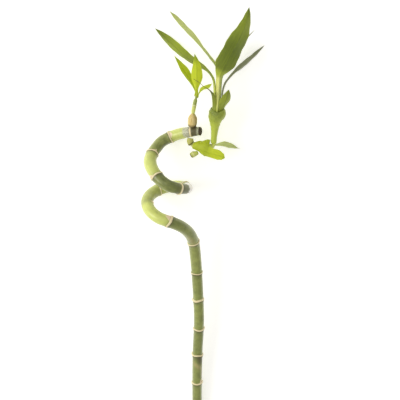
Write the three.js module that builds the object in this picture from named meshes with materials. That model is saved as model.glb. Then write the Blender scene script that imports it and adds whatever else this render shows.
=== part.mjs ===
// A cut stalk of lucky bamboo with a spiral top, lying on its side. Millimetres, +Z up.
//
// The plant is built as it grew: its cut end at the origin, +Z along the straight stem, +X to the
// right and +Y to the back. The last section lays it down, with its leaves towards +Y, and puts the
// origin on the surface under the middle of the plant.

import * as THREE from "three";

// ---- Driving dimensions ----------------------------------------------------------------------

const GAP = 0.3; // between pieces that touch on the plant
const LEAF_THICKNESS = 0.7;
const TIP_HALF_WIDTH = 0.5; // a leaf's point is never thinner than this
const LEAF_EDGE_SHARE = 0.6; // how thick a leaf's edge and point are, against its middle
const LEAF_COLUMNS = 4;
const LEAF_ROWS = 16;
const LEAF_TURNED = 0.8; // the share of its midrib by which a blade faces its own way

// The cane's axis, from the cut end up to where it has leaned forward into the spiral.
const STEM_AXIS = [
  [0, 0, 0],
  [-0.2, 0, 60],
  [0.5, 0, 105],
  [2.2, 0, 147],
  [0.5, 0, 195],
  [-1.8, 0, 231],
  [-3.8, -2, 249],
  [-6.8, -7.5, 261],
  [-12, -14, 271],
  [-21, -20.5, 280.2],
];

// The spiral climbs to the left from the front. Each row is an eighth of a turn: the distance from
// the spiral's axis, and the height.
const SPIRAL_AXIS_X = -32.5;
const SPIRAL_EIGHTHS = [
  [23.8, 286.2], // front
  [24.8, 293.1],
  [24.9, 301], // left
  [24.4, 306.5],
  [24, 310.5], // back
  [22.9, 313.8],
  [22, 317.5], // right
  [22.8, 322.6],
  [23.4, 329.5], // front
  [20.4, 340.2],
  [20.6, 350.5], // left
  [20.2, 361],
  [24, 370.3], // back
];
const SPIRAL_STEPS = 2; // points of the axis in each eighth of a turn

// From the back of the last turn the cane straightens out to its pruned end.
const END_AXIS = [
  [-22, 21.5, 375.1],
  [-14.8, 18, 378],
  [-6.8, 14, 380.8],
  [0.4, 11.5, 382],
  [3, 10.6, 382.3],
];

// Along the cane's axis from the cut end: the node rings, and how thick the cane is.
const RINGS = [24, 62, 101, 137, 176, 212, 252.5, 303, 341, 372, 409, 445.5, 476.5, 510, 541.3, 567.5];
const RING_BULGES = [
  [0, 1.1],
  [150, 1],
  [210, 0.8],
  [545, 0.8],
  [567, 0.5],
];
const RING_HALF_LENGTH = 1.6;
const RING_CLEAR = 2; // no other row of faces is this near a ring
const CANE_RADII = [
  [0, 6.1],
  [150, 6.2],
  [200, 6.4],
  [245, 6.7],
  [300, 6.9],
  [330, 7.1],
  [360, 7.1],
  [392, 6.7],
  [409, 6.2],
  [425, 5.8],
  [440, 5.9],
  [456, 6.8],
  [477, 7],
  [498, 7.4],
  [516, 6.8],
  [535, 6.7],
  [556, 6.7],
  [562, 6.2],
  [567, 5.8],
  [571, 5.7],
  [577.3, 5],
];
const CANE_SIDES = 14;
const CANE_STEP = 7; // length of one row of the cane's faces

// The dried cap on the pruned end: radius and height.
const SEAL_PROFILE = [
  [0, 0],
  [4.7, 0],
  [5, 0.6],
  [4.7, 1.4],
  [3.4, 2],
  [0, 2.2],
];

// The upper shoot: its axis, its thickness along the axis, and the papery scale round its foot.
// Rows of a sleeve are the place along it, its inner radius and its outer radius.
const UPPER_AXIS = [
  [-5.6, 12.4, 388],
  [-5.1, 12, 394],
  [-4.5, 12, 402],
  [-2.6, 12, 413.5],
  [-0.6, 12, 422.5],
  [0.6, 12, 430],
];
const UPPER_RADII = [
  [0, 1.9],
  [0.35, 1.9],
  [0.43, 2.2],
  [0.7, 2.2],
  [0.76, 1.3],
  [1, 1],
];
const UPPER_SCALE_SHARE = 0.35; // how much of the shoot the scale covers
const UPPER_SCALE_ROWS = [
  [0, 2.2, 4.2],
  [0.25, 2.2, 4.9],
  [0.6, 2.2, 5],
  [0.8, 2.2, 4.4],
  [0.92, 2.2, 3.5],
  [1, 2.2, 2.7],
];

// The lower shoot hangs from the cane, turns level to the right and then rises as a column.
const LOWER_FOOT = [
  [-7.4, 14, 372.9],
  [-7.7, 13.2, 369.5],
  [-5.2, 12.4, 365.4],
  [1.5, 12, 364],
  [10.2, 12, 363.9],
  [17.2, 12, 364.2],
];
const LOWER_COLUMN = [
  [19, 12, 368],
  [19.4, 12, 375],
  [20.4, 12, 386],
  [22.2, 12, 402],
  [23.2, 12, 415],
  [24.3, 12, 435],
  [24.8, 12, 446],
];
const LOWER_RADII = [
  [0, 2.2],
  [0.075, 2.2],
  [0.11, 2.7],
  [0.24, 2.7],
  [0.27, 2.9],
  [0.3, 2],
  [0.5, 2],
  [0.6, 2.5],
  [0.85, 2.5],
  [1, 0.8],
];
const COLLAR_SHARE = 0.062; // how much of the shoot the collar covers
const COLLAR_ROWS = [
  [0, 2.6, 3.4],
  [0.5, 2.6, 3.9],
  [1, 2.6, 3.6],
];

// The trimmed end of an older shoot, beside the lower one.
const STUB_AXIS = [
  [1.4, 11, 356.6],
  [-1.2, 10.8, 355.8],
  [-4.2, 10.5, 354.7],
  [-7.2, 10.2, 352.8],
];
const STUB_RADII = [
  [0, 1.4],
  [0.15, 2.5],
  [0.6, 3.4],
  [0.85, 3.2],
  [1, 2.2],
];

// The goblet: a sheath that hugs the stem, swells and opens round the crown's leaves.
const CUP_AXIS = [
  [18.9, 12, 368],
  [19.3, 12, 375],
  [20, 12, 384],
  [20.4, 12, 390.5],
  [21.1, 12, 397.5],
  [22.9, 12, 403.5],
  [23.2, 12, 408.5],
];
const CUP_ROWS = [
  [0, 2.5, 3.3],
  [0.15, 2.5, 3.4],
  [0.3, 2.6, 3.8],
  [0.44, 3.2, 4.6],
  [0.56, 4.8, 5.9],
  [0.65, 6.2, 7.2],
  [0.74, 7.9, 8.8],
  [0.88, 9, 9.9],
  [0.95, 8.2, 9],
  [1, 7, 7.8],
];
const CUP_RIM_DIP = 0.12; // how far the rim dips at the front, as a share of the axis
const CUP_SIDES = 20;
const SHOOT_SIDES = 12;
const SLEEVE_STEPS = 40;

// Leaves of the two shoots. Each clasps its stem on the side that its azimuth says, in degrees from
// the front towards the right, and from one height to another, and then runs on as its blade.
const UPPER_LEAVES = {
  upper_leaf_left: {
    azimuth: -112, radius: 2.1, halfWidth: 1.4, from: 422.5, to: 427.5,
    blade: [[-4.6, 13, 434], [-11, 14.5, 446], [-18.2, 17, 457], [-25.4, 20.5, 466.8]],
    faces: [0.5, -0.6, 0.6], width: 11.6, widest: 0.5, neck: 0.15, cup: 25, colour: "#93a83c",
  },
  upper_leaf_front: {
    azimuth: 0, radius: 2.1, halfWidth: 1.4, from: 423, to: 427,
    blade: [[0, 8.6, 429], [-0.2, 5, 436], [0, 0.5, 449.6], [-0.4, -2.5, 462.5], [-2.5, -4, 474]],
    faces: [0, 0.95, 0.3], width: 13, widest: 0.48, neck: 0.12, cup: 25, colour: "#b5c433",
  },
  upper_leaf_right: {
    azimuth: 120, radius: 2.1, halfWidth: 1.4, from: 420.5, to: 424,
    blade: [[5.6, 19, 427.6], [10.7, 26, 428.7], [17, 33, 431.8]],
    faces: [-0.2, -0.5, 0.8], width: 8.6, widest: 0.55, cup: 25, colour: "#9bb04a",
  },
};
const CROWN_LEAVES = {
  crown_broad_leaf: {
    azimuth: 4, radius: 3.9, halfWidth: 3.9, from: 404, to: 444,
    blade: [[26.5, 5, 450], [31, 3, 459.5], [39.5, 0, 477], [47.6, -4, 494.5], [53.2, -7, 510.5],
      [55.5, -8, 525]],
    faces: [-0.35, 0.85, 0.3], width: 24, neck: 0.3, widest: 0.47, narrows: 0.62,
    cup: 22, colour: "#6f8530",
  },
  crown_thin_leaf: {
    azimuth: -140, radius: 3.4, halfWidth: 2, from: 405, to: 442,
    blade: [[21.5, 16, 454.5], [13.9, 19, 465.5], [5.5, 22, 475.2], [-5.6, 24, 487.9],
      [-17.9, 26, 500.1], [-30.1, 28, 514.6]],
    faces: [0.65, -0.35, 0.65], width: 12, widest: 0.84, neck: 0.5, cup: 30, colour: "#8fa14a",
  },
  crown_back_leaf: {
    azimuth: 146, radius: 3.4, halfWidth: 1.8, from: 405, to: 436,
    blade: [[28.5, 18, 447], [39, 23, 467], [53.4, 28, 482.5], [63.9, 31.5, 492.9]],
    faces: [-0.5, -0.5, 0.7], width: 8, widest: 0.6, neck: 0.3, cup: 25, colour: "#7c8f45",
  },
  crown_long_leaf: {
    azimuth: -85, radius: 5, halfWidth: 4, from: 402, to: 431,
    blade: [[17.6, 13, 441.5], [13.2, 16.5, 447.8], [5.9, 20, 452.7], [-3, 24, 457.8],
      [-14.2, 29, 464.9], [-30.7, 37.5, 478.4], [-47, 44.83, 492.2]],
    faces: [0.45, -0.55, 0.7], width: 14.6, widest: 0.6, narrows: 0.78, neck: 0.3, cup: 25, colour: "#839c3c",
  },
  crown_whisker_leaf: {
    azimuth: -44, radius: 6, halfWidth: 2.8, from: 403, to: 412,
    blade: [[18.4, 6.3, 420], [17, 3.5, 427], [12.7, -3, 434], [7.8, -7, 438], [3.4, -10, 443],
      [-3.6, -13, 448.3]],
    faces: [0.4, 0.5, 0.7], width: 6, widest: 0.25, neck: 0.1, cup: 30, taper: 5,
    colour: "#93973f",
  },
  crown_right_leaf: {
    azimuth: 93, radius: 5, halfWidth: 3.2, from: 402, to: 419,
    blade: [[29, 14.2, 427], [32, 16.5, 436], [40.4, 21, 445.6], [52, 27, 454.5],
      [64.3, 35, 463.2], [76, 43.35, 473.2]],
    faces: [-0.45, 0.75, 0.5], width: 9.4, widest: 0.72, neck: 0.4, cup: 25, colour: "#6b7440",
  },
  crown_small_leaf: {
    azimuth: 55, radius: 6.1, halfWidth: 3, from: 399, to: 406,
    blade: [[29.2, 8, 411.5], [31.6, 6, 417.5], [33.6, 4, 425], [35.2, 2, 432.8]],
    faces: [-0.4, 0.9, 0.2], width: 15, widest: 0.5, cup: 30, colour: "#7f9438",
  },
};
const FOOT_SIDE_LEAF = {
  midrib: [[20.8, 12.6, 365.2], [28.6, 18, 363.4], [38, 23.5, 360.3], [49.5, 28.5, 355.8]],
  foot: [0, -0.35, 1], faces: [0, -0.35, 1], clasp: { radius: 3, halfWidth: 1.8 },
  width: 12, widest: 0.5, neck: 0, cup: 25,
};

// The foot leaf wraps the level stretch of the stem as a funnel, open at the top. At the funnel's
// mouth its walls end, and its lower side runs on as a rounded blade.
const FOOT_MIDRIB = [
  [-5.2, 8.5, 364.1], [1, 6.6, 362.9], [7.2, 4.2, 361], [13.5, 3, 358.9], [21.5, 1.5, 357.2],
  [27, 0.6, 355.6], [31.3, 0, 353.9],
];
const FOOT_HALF_WIDTHS = [
  [0, 8], [0.16, 14.5], [0.3, 24], [0.36, 25.4], [0.39, 24.5], [0.46, 7], [0.62, 6.4], [0.78, 6.4],
  [0.92, 4.4], [1, 1.2],
];
const FOOT_CURLS = [
  [0, 3.8], [0.16, 5.9], [0.3, 9.2], [0.36, 9.6], [0.48, 10.5], [0.65, 14], [1, 16],
];
const FUNNEL_FACES = [-0.1, 1, 0.36];
const FOOT_BLADE_FACES = [-0.15, 1, 0.1];
const FUNNEL_COLUMNS = 12;

// Laid down, the stem rises a little from its cut end to the spiral, whose back rests on the
// surface. The shift then puts the origin under the middle of the whole plant.
const LAY_TILT = 4.57; // degrees
const LAID_SHIFT = [-5.66, -261.15, 5.96];

// ---- Helpers ---------------------------------------------------------------------------------

const point = ([x, y, z]) => new THREE.Vector3(x, y, z);
const smoothCurve = (points) =>
  new THREE.CatmullRomCurve3(points.map(point), false, "centripetal");
const { lerp, smoothstep, degToRad } = THREE.MathUtils;

// A value read from rows of [place, value], eased between one row and the next.
function along(rows, place) {
  const next = rows.findIndex(([at]) => at > place);
  if (next === 0) return rows[0][1];
  if (next < 0) return rows[rows.length - 1][1];
  const [fromPlace, from] = rows[next - 1];
  const [toPlace, to] = rows[next];
  return lerp(from, to, smoothstep(place, fromPlace, toPlace));
}

// Bends a geometry whose long axis is Y, from 0 to 1, along a curve. Its own X and Z become
// distances across the curve.
function bendAlong(geometry, curve, steps) {
  const { tangents, normals, binormals } = curve.computeFrenetFrames(steps);
  const position = geometry.attributes.position;
  const v = new THREE.Vector3();
  const side = new THREE.Vector3();
  const depth = new THREE.Vector3();
  for (let i = 0; i < position.count; i++) {
    v.fromBufferAttribute(position, i);
    const at = THREE.MathUtils.clamp(v.y, 0, 1);
    const step = Math.min(Math.floor(at * steps), steps - 1);
    const between = at * steps - step;
    side.lerpVectors(normals[step], normals[step + 1], between).normalize();
    depth.lerpVectors(binormals[step], binormals[step + 1], between).normalize();
    const place = curve
      .getPointAt(at)
      .addScaledVector(side, v.x)
      .addScaledVector(depth, -v.z)
      .addScaledVector(tangents[step], v.y - at);
    position.setXYZ(i, place.x, place.y, place.z);
  }
  geometry.computeVertexNormals();
  return geometry;
}

// A round solid along a curve. Stations run from 0 to 1, and radiusAt gives each one's radius.
function limb(curve, stations, radiusAt, sides) {
  const rows = stations.length - 1;
  const geometry = new THREE.CylinderGeometry(1, 1, rows, sides, rows);
  const position = geometry.attributes.position;
  for (let i = 0; i < position.count; i++) {
    const at = stations[Math.round(position.getY(i) + rows / 2)];
    const radius = radiusAt(at);
    position.setXYZ(i, position.getX(i) * radius, at, position.getZ(i) * radius);
  }
  return bendAlong(geometry, curve, rows * 2);
}

const evenStations = (count) => Array.from({ length: count + 1 }, (_, i) => i / count);

// A round sleeve, open at both ends, along a curve: rows of [place 0 to 1, inner, outer radius].
// The rim can dip at the front by a share of the sleeve's length.
function sleeve(curve, rows, sides, rimDip = 0) {
  const outline = [
    ...rows.map(([at, inner]) => new THREE.Vector2(inner, at)).reverse(),
    ...rows.map(([at, , outer]) => new THREE.Vector2(outer, at)),
  ];
  outline.push(outline[0].clone());
  const geometry = new THREE.LatheGeometry(outline, sides);
  const position = geometry.attributes.position;
  for (let i = 0; i < position.count; i++) {
    const at = position.getY(i);
    const front = Math.max(0, -position.getZ(i) / Math.hypot(position.getX(i), position.getZ(i)));
    position.setY(i, at - rimDip * front ** 4 * smoothstep(at, 0.5, 1));
  }
  return bendAlong(geometry, curve, SLEEVE_STEPS);
}

// A leaf is a thin slab bent along its midrib and round it. At a share of the midrib's length,
// shapeAt gives half the width, the radius that the leaf is curled to, and the way its upper face
// looks.
function leafSlab(midrib, shapeAt, columns = LEAF_COLUMNS) {
  const curve = smoothCurve(midrib);
  const geometry = new THREE.BoxGeometry(2, 1, 1, columns, LEAF_ROWS, 1);
  const position = geometry.attributes.position;
  const v = new THREE.Vector3();
  for (let i = 0; i < position.count; i++) {
    v.fromBufferAttribute(position, i);
    const share = v.y + 0.5;
    const { halfWidth, curl, faces } = shapeAt(share);
    const tangent = curve.getTangentAt(share);
    const up = faces.clone().addScaledVector(tangent, -faces.dot(tangent)).normalize();
    const across = tangent.clone().cross(up);
    const angle = (v.x * halfWidth) / curl;
    const thinned = lerp(1, LEAF_EDGE_SHARE, Math.max(share ** 3, Math.abs(v.x) ** 3));
    const inwards = v.z * LEAF_THICKNESS * thinned;
    const place = curve
      .getPointAt(share)
      .addScaledVector(across, (curl - inwards) * Math.sin(angle))
      .addScaledVector(up, curl - (curl - inwards) * Math.cos(angle));
    position.setXYZ(i, place.x, place.y, place.z);
  }
  geometry.computeVertexNormals();
  return geometry;
}

// An ordinary blade. From its clasping foot to the tip, its upper face turns from the stem towards
// `faces`. Shares of the midrib say where it starts to open (neck), is open (widest) and starts to
// narrow (narrows). Open, it is curled by `cup` degrees to each side.
function leafBlade({ midrib, foot, faces, clasp, width, cup, ...outline }) {
  const { neck = 0.15, widest, narrows = widest, taper = 1 } = outline;
  const footFace = point(foot);
  const tipFace = point(faces);
  return leafSlab(midrib, (share) => {
    const narrowed = Math.max(0, (share - narrows) / (1 - narrows));
    const opened = lerp(clasp.halfWidth, width / 2, smoothstep(share, neck, widest));
    const halfWidth = Math.max(opened * Math.cos((Math.PI / 2) * narrowed) ** taper, TIP_HALF_WIDTH);
    const sweep = lerp(
      clasp.halfWidth / clasp.radius,
      degToRad(cup),
      smoothstep(share, neck / 2, widest),
    );
    return {
      halfWidth,
      curl: halfWidth / sweep,
      faces: footFace.clone().lerp(tipFace, smoothstep(share, 0, LEAF_TURNED)),
    };
  });
}

const plant = new THREE.Group();
function addPiece(name, geometry, colour, roughness = 0.45) {
  const material = new THREE.MeshStandardMaterial({ color: colour, roughness, metalness: 0 });
  const mesh = new THREE.Mesh(geometry, material);
  mesh.name = name;
  plant.add(mesh);
}

// ---- Cane ------------------------------------------------------------------------------------

// A point of the spiral's axis. Turned is in eighths of a turn from the front, round by the left.
function spiralPoint(turned) {
  const eighth = Math.min(Math.floor(turned), SPIRAL_EIGHTHS.length - 2);
  const rows = [-1, 0, 1, 2].map(
    (k) => SPIRAL_EIGHTHS[THREE.MathUtils.clamp(eighth + k, 0, SPIRAL_EIGHTHS.length - 1)],
  );
  const ease = (column) => catmullRom(turned - eighth, ...rows.map((row) => row[column]));
  const angle = (turned * Math.PI) / 4;
  const radius = ease(0);
  return [SPIRAL_AXIS_X - radius * Math.sin(angle), -radius * Math.cos(angle), ease(1)];
}

function catmullRom(t, before, from, to, after) {
  const leave = (to - before) / 2;
  const arrive = (after - from) / 2;
  return (
    (2 * from - 2 * to + leave + arrive) * t ** 3 +
    (-3 * from + 3 * to - 2 * leave - arrive) * t ** 2 +
    leave * t +
    from
  );
}

const spiralCount = (SPIRAL_EIGHTHS.length - 1) * SPIRAL_STEPS;
const spiralAxis = Array.from({ length: spiralCount + 1 }, (_, i) => spiralPoint(i / SPIRAL_STEPS));
const caneCurve = smoothCurve([...STEM_AXIS, ...spiralAxis, ...END_AXIS]);
caneCurve.arcLengthDivisions = 2000;
const caneLength = caneCurve.getLength();

function caneRadius(at) {
  const place = at * caneLength;
  const bulge = Math.max(
    ...RINGS.map(
      (ring) =>
        along(RING_BULGES, ring) * (1 - smoothstep(Math.abs(place - ring), 0, RING_HALF_LENGTH)),
    ),
  );
  return along(CANE_RADII, place) + bulge;
}

const caneStations = [
  ...evenStations(Math.round(caneLength / CANE_STEP)).filter((at) =>
    RINGS.every((ring) => Math.abs(at * caneLength - ring) > RING_CLEAR),
  ),
  ...RINGS.flatMap((ring) =>
    [-RING_HALF_LENGTH, 0, RING_HALF_LENGTH].map((off) => (ring + off) / caneLength),
  ),
].sort((a, b) => a - b);
addPiece("cane", limb(caneCurve, caneStations, caneRadius, CANE_SIDES), "#7d9440", 0.35);

// ---- The dried cap on the pruned end ---------------------------------------------------------

const caneEnd = caneCurve.getPointAt(1);
const caneEndWay = caneCurve.getTangentAt(1);
const sealProfile = SEAL_PROFILE.map(([radius, height]) => new THREE.Vector2(radius, height));
const seal = new THREE.LatheGeometry(sealProfile, CANE_SIDES);
seal.applyQuaternion(
  new THREE.Quaternion().setFromUnitVectors(new THREE.Vector3(0, 1, 0), caneEndWay),
);
const sealAt = caneEnd.clone().addScaledVector(caneEndWay, GAP);
seal.translate(sealAt.x, sealAt.y, sealAt.z);
addPiece("end_seal", seal, "#4a3a2a", 0.8);

// ---- Upper shoot -----------------------------------------------------------------------------

const upperCurve = smoothCurve(UPPER_AXIS);
addPiece(
  "upper_stem",
  limb(upperCurve, evenStations(12), (at) => along(UPPER_RADII, at), SHOOT_SIDES),
  "#8f9a45",
);

// The part of a curve between two shares of its length, as a curve of its own.
const stretch = (curve, from, to, count = 6) =>
  new THREE.CatmullRomCurve3(
    evenStations(count).map((t) => curve.getPointAt(lerp(from, to, t))),
    false,
    "centripetal",
  );

addPiece(
  "upper_bud_scale",
  sleeve(stretch(upperCurve, 0, UPPER_SCALE_SHARE), UPPER_SCALE_ROWS, SHOOT_SIDES),
  "#d9b878",
  0.7,
);

// ---- Lower shoot -----------------------------------------------------------------------------

const lowerCurve = smoothCurve([...LOWER_FOOT, ...LOWER_COLUMN]);
addPiece(
  "lower_stem",
  limb(lowerCurve, evenStations(28), (at) => along(LOWER_RADII, at), SHOOT_SIDES),
  "#b9bf5a",
);

addPiece(
  "lower_collar",
  sleeve(stretch(lowerCurve, 0, COLLAR_SHARE), COLLAR_ROWS, SHOOT_SIDES),
  "#a8a76c",
  0.6,
);

addPiece(
  "lower_stub",
  limb(smoothCurve(STUB_AXIS), evenStations(8), (at) => along(STUB_RADII, at), SHOOT_SIDES),
  "#a9ad55",
);

addPiece("cup_sheath", sleeve(smoothCurve(CUP_AXIS), CUP_ROWS, CUP_SIDES, CUP_RIM_DIP), "#7f9440");

// ---- Leaves ----------------------------------------------------------------------------------

// Where a shoot's axis is at a height.
function axisAt(axis, height) {
  const next = Math.max(1, axis.findIndex(([, , z]) => z >= height));
  const share = (height - axis[next - 1][2]) / (axis[next][2] - axis[next - 1][2]);
  return point(axis[next - 1]).lerp(point(axis[next]), share);
}

// A leaf that clasps its stem from one height to another and then runs through its own points.
// The azimuth is the side of the stem it is on, in degrees from the front towards the right.
function claspingLeaf(axis, { azimuth, radius, halfWidth, from, to, blade, ...shape }) {
  const angle = degToRad(azimuth);
  const outwards = new THREE.Vector3(Math.sin(angle), -Math.cos(angle), 0);
  const clasped = [from, (from + to) / 2, to].map((height) =>
    axisAt(axis, height).addScaledVector(outwards, radius).toArray(),
  );
  return leafBlade({
    midrib: [...clasped, ...blade],
    foot: outwards.clone().negate().toArray(),
    clasp: { radius, halfWidth },
    ...shape,
  });
}

for (const [name, { colour, ...leaf }] of Object.entries(UPPER_LEAVES))
  addPiece(name, claspingLeaf(UPPER_AXIS, leaf), colour);
for (const [name, { colour, ...leaf }] of Object.entries(CROWN_LEAVES))
  addPiece(name, claspingLeaf(LOWER_COLUMN, leaf), colour);
addPiece("foot_side_leaf", leafBlade(FOOT_SIDE_LEAF), "#c3cf86");
const footLeaf = leafSlab(
  FOOT_MIDRIB,
  (share) => ({
    halfWidth: along(FOOT_HALF_WIDTHS, share),
    curl: along(FOOT_CURLS, share),
    faces: point(FUNNEL_FACES).lerp(point(FOOT_BLADE_FACES), share),
  }),
  FUNNEL_COLUMNS,
);
addPiece("foot_leaf", footLeaf, "#b2bf2d");

// ---- Laid down -------------------------------------------------------------------------------

plant.rotation.x = -degToRad(90 - LAY_TILT);
plant.position.set(...LAID_SHIFT);
const root = new THREE.Group();
root.add(plant);
export default root;
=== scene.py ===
# %% [markdown]
# # Lucky bamboo: a cut stalk with a spiral top
# Lucky bamboo is *Dracaena sanderiana*, sold as a bare green cane that was trained into a spiral.
# Two side shoots grow near its sealed top, and they carry all the leaves. We build one cut stalk
# that lies on a pale floor. A plain, measured model of it is loaded first, and each of its pieces
# is then made again, finely, in the same place.

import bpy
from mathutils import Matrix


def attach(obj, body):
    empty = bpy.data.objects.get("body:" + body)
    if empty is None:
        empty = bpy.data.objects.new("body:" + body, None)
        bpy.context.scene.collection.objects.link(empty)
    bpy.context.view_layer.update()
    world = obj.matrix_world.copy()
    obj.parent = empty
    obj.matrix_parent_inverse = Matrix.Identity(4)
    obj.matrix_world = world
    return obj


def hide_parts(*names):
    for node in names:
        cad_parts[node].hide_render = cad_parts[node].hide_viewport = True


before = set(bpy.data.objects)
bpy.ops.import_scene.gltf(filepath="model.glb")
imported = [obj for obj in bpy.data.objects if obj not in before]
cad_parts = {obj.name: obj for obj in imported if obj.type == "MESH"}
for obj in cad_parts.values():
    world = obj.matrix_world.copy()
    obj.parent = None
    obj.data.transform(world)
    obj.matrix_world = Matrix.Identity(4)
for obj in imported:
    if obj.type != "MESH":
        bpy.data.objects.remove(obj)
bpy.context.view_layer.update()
print("pieces to make:", sorted(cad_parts))

# %% [markdown]
# ## Two places for every point
# A bent cane is hard to draw and harder to paint, because grain and veins run along it. So each
# point gets two places. The first is where it would be on a straight, flat piece: it is kept as an
# attribute, `grown`, that the materials read, so that every pattern follows the bends. The second
# is where it really is. Both are in millimetres, on the plant as it grew: upright, with its cut end
# at the origin, its front towards -Y and its right towards +X. At the very end each piece is laid
# down and turned into metres.

# %% Laying the plant down
from bisect import bisect_right
from math import atan2, copysign, cos, degrees, exp, hypot, pi, radians, sin, sqrt, tau

import bmesh
import bpy
from mathutils import Matrix, Vector, noise

MM = 0.001
LAY_TILT = radians(4.57)  # the cane rises a little from its cut end to the spiral
LAID_SHIFT = Vector((-5.66, -261.15, 5.96))  # puts the origin under the middle of the plant

upright_to_laid = (
    Matrix.Scale(MM, 4)
    @ Matrix.Translation(LAID_SHIFT)
    @ Matrix.Rotation(LAY_TILT - pi / 2, 4, "X")
)
print("the cut end lies at", upright_to_laid @ Vector((0, 0, 0)))

# %% Numbers that ease from one value to the next
def ease(value, low=0.0, high=1.0):
    """0 below low, 1 above high, and a soft S between them."""
    share = min(max((value - low) / (high - low), 0.0), 1.0)
    return share * share * (3 - 2 * share)


def mix(first, last, share):
    return first + (last - first) * share


def along(rows, place):
    """A value read from rows of (place, value), eased between one row and the next."""
    if place <= rows[0][0]:
        return rows[0][1]
    for (start, first), (end, last) in zip(rows, rows[1:]):
        if place < end:
            return mix(first, last, ease(place, start, end))
    return rows[-1][1]


def window(value, start, end, soft):
    """1 between start and end, and 0 outside them, with soft edges."""
    return ease(value, start - soft, start) * (1 - ease(value, end, end + soft))


print("halfway:", ease(0.5), along([(0, 2), (10, 4)], 5))

# %% [markdown]
# ## Smooth lines
# The cane, the shoots and every midrib follow a smooth line through a few measured points. A
# centripetal Catmull-Rom line passes through its points and never makes loops. To put something
# along it evenly we also need its length, and to build round it we need a frame at each place: the
# way it runs, and which side is its front. The front is carried along from point to point without
# twisting, as a rubber hose does.

# %% A curve through points
def curve(start, end, leave, arrive, share):
    """From start to end, with the slope that it leaves with and the one that it arrives with."""
    bend = (start - end) * 2 + leave + arrive
    sag = (end - start) * 3 - leave * 2 - arrive
    return start + leave * share + sag * share**2 + bend * share**3


def between(before, start, end, after, share):
    """A point between start and end, on the smooth line through all four."""
    gaps = [sqrt((b - a).length) for a, b in ((before, start), (start, end), (end, after))]
    first, middle, last = gaps
    leave = ((start - before) / first - (end - before) / (first + middle)) * middle + end - start
    arrive = ((after - end) / last - (after - start) / (middle + last)) * middle + end - start
    return curve(start, end, leave, arrive, share)


print("a quarter of the way, from a soft start:", curve(0, 1, 0, 0, 0.25))

# %% A smooth line with a front
FRONT = Vector((0, -1, 0))


class Line:
    """A smooth line through points. Places on it are shares of its length, from 0 to 1."""

    BITS = 30  # straight bits between two of its points

    def __init__(self, points, front=FRONT):
        knots = [Vector(point) for point in points]
        knots = [knots[0] * 2 - knots[1], *knots, knots[-1] * 2 - knots[-2]]
        self.points = [knots[1]]
        for quad in zip(knots, knots[1:], knots[2:], knots[3:]):
            self.points += [between(*quad, step / self.BITS) for step in range(1, self.BITS + 1)]
        self.reach = [0.0]
        for a, b in zip(self.points, self.points[1:]):
            self.reach.append(self.reach[-1] + (b - a).length)
        self.length = self.reach[-1]
        self.fronts = []
        for a, b in zip(self.points, self.points[1:] + self.points[-1:]):
            way = b - a if b != a else a - self.points[-2]
            way.normalize()
            front = (front - way * front.dot(way)).normalized()
            self.fronts.append(front)

    def find(self, share):
        """The straight bit that a place is on, and how far along that bit it is."""
        wanted = min(max(share, 0.0), 1.0) * self.length
        bit = min(bisect_right(self.reach, wanted), len(self.reach) - 1) - 1
        return bit, (wanted - self.reach[bit]) / (self.reach[bit + 1] - self.reach[bit])

    def at(self, share):
        bit, rest = self.find(share)
        return self.points[bit].lerp(self.points[bit + 1], rest)

    def way(self, share, reach=0.004):
        return (self.at(share + reach) - self.at(share - reach)).normalized()

    def sides(self, share):
        """The front and the right at a place, both square to the line."""
        bit, rest = self.find(share)
        way = self.way(share)
        front = self.fronts[bit].lerp(self.fronts[bit + 1], rest)
        front = (front - way * front.dot(way)).normalized()
        return front, way.cross(front)

    def beside(self, share, angle, radius):
        """A point round the line, as it is on a straight piece and where it really is. Its angle is
        counted from the front, round by the right."""
        front, right = self.sides(share)
        flat = Vector((radius * sin(angle), -radius * cos(angle), share * self.length))
        return flat, self.at(share) + right * flat.x - front * flat.y


print("a quarter turn is", round(Line([(0, 0, 0), (5, 0, 12), (17, 0, 17)]).length, 2), "mm long")

# %% Noise round a line
def uneven(angle, place, fine=1.0):
    """Noise round a line, from -1 to 1, that closes up after a whole turn."""
    return noise.noise(Vector((sin(angle), cos(angle), place)) * fine)


print("in front, and a whole turn on:", round(uneven(0, 1.5), 3), round(uneven(tau, 1.5), 3))

# %% [markdown]
# ## From a grid to a piece
# Every piece starts as a flat grid. For a leaf the grid is bent, and for a stem it is rolled up, so
# that two of its edges meet and are merged. A grid has rows and columns in known places, which
# makes both easy. The helpers below add the grid, put its points where they belong, and do what we
# would do by hand afterwards: merge, fill holes, point the normals outwards and apply modifiers.

# %% A grid whose points are moved
FINE = "fine_"  # before the name of the measured piece, in the name of the one that replaces it


def deselect_all():
    if bpy.context.object and bpy.context.object.mode == "EDIT":
        bpy.ops.object.mode_set(mode="OBJECT")
    bpy.ops.object.select_all(action="DESELECT")


def grid(name, columns, rows, place, attributes=()):
    """A grid whose points are moved by place(across, up), both from 0 to 1. It returns the point on
    the straight piece, the real point, and then one number for each attribute."""
    deselect_all()
    bpy.ops.mesh.primitive_grid_add(x_subdivisions=columns, y_subdivisions=rows, size=1)
    piece = bpy.context.object
    piece.name = piece.data.name = FINE + name
    mesh = piece.data
    placed = [place(point.co.x + 0.5, point.co.y + 0.5) for point in mesh.vertices]
    mesh.attributes.new("grown", "FLOAT_VECTOR", "POINT")
    flats = [value for flat, *_ in placed for value in flat]
    mesh.attributes["grown"].data.foreach_set("vector", flats)
    for key, values in zip(attributes, zip(*[rest for _, _, *rest in placed])):
        mesh.attributes.new(key, "FLOAT", "POINT")
        mesh.attributes[key].data.foreach_set("value", values)
    mesh.vertices.foreach_set("co", [value for _, real, *_ in placed for value in real])
    mesh.update()
    return piece


print("the cane will be named", FINE + "cane")

# %% Merge, fill and apply, as by hand
MERGED_BELOW = 0.002  # mm


def select_only(piece):
    deselect_all()
    piece.select_set(True)
    bpy.context.view_layer.objects.active = piece


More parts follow.
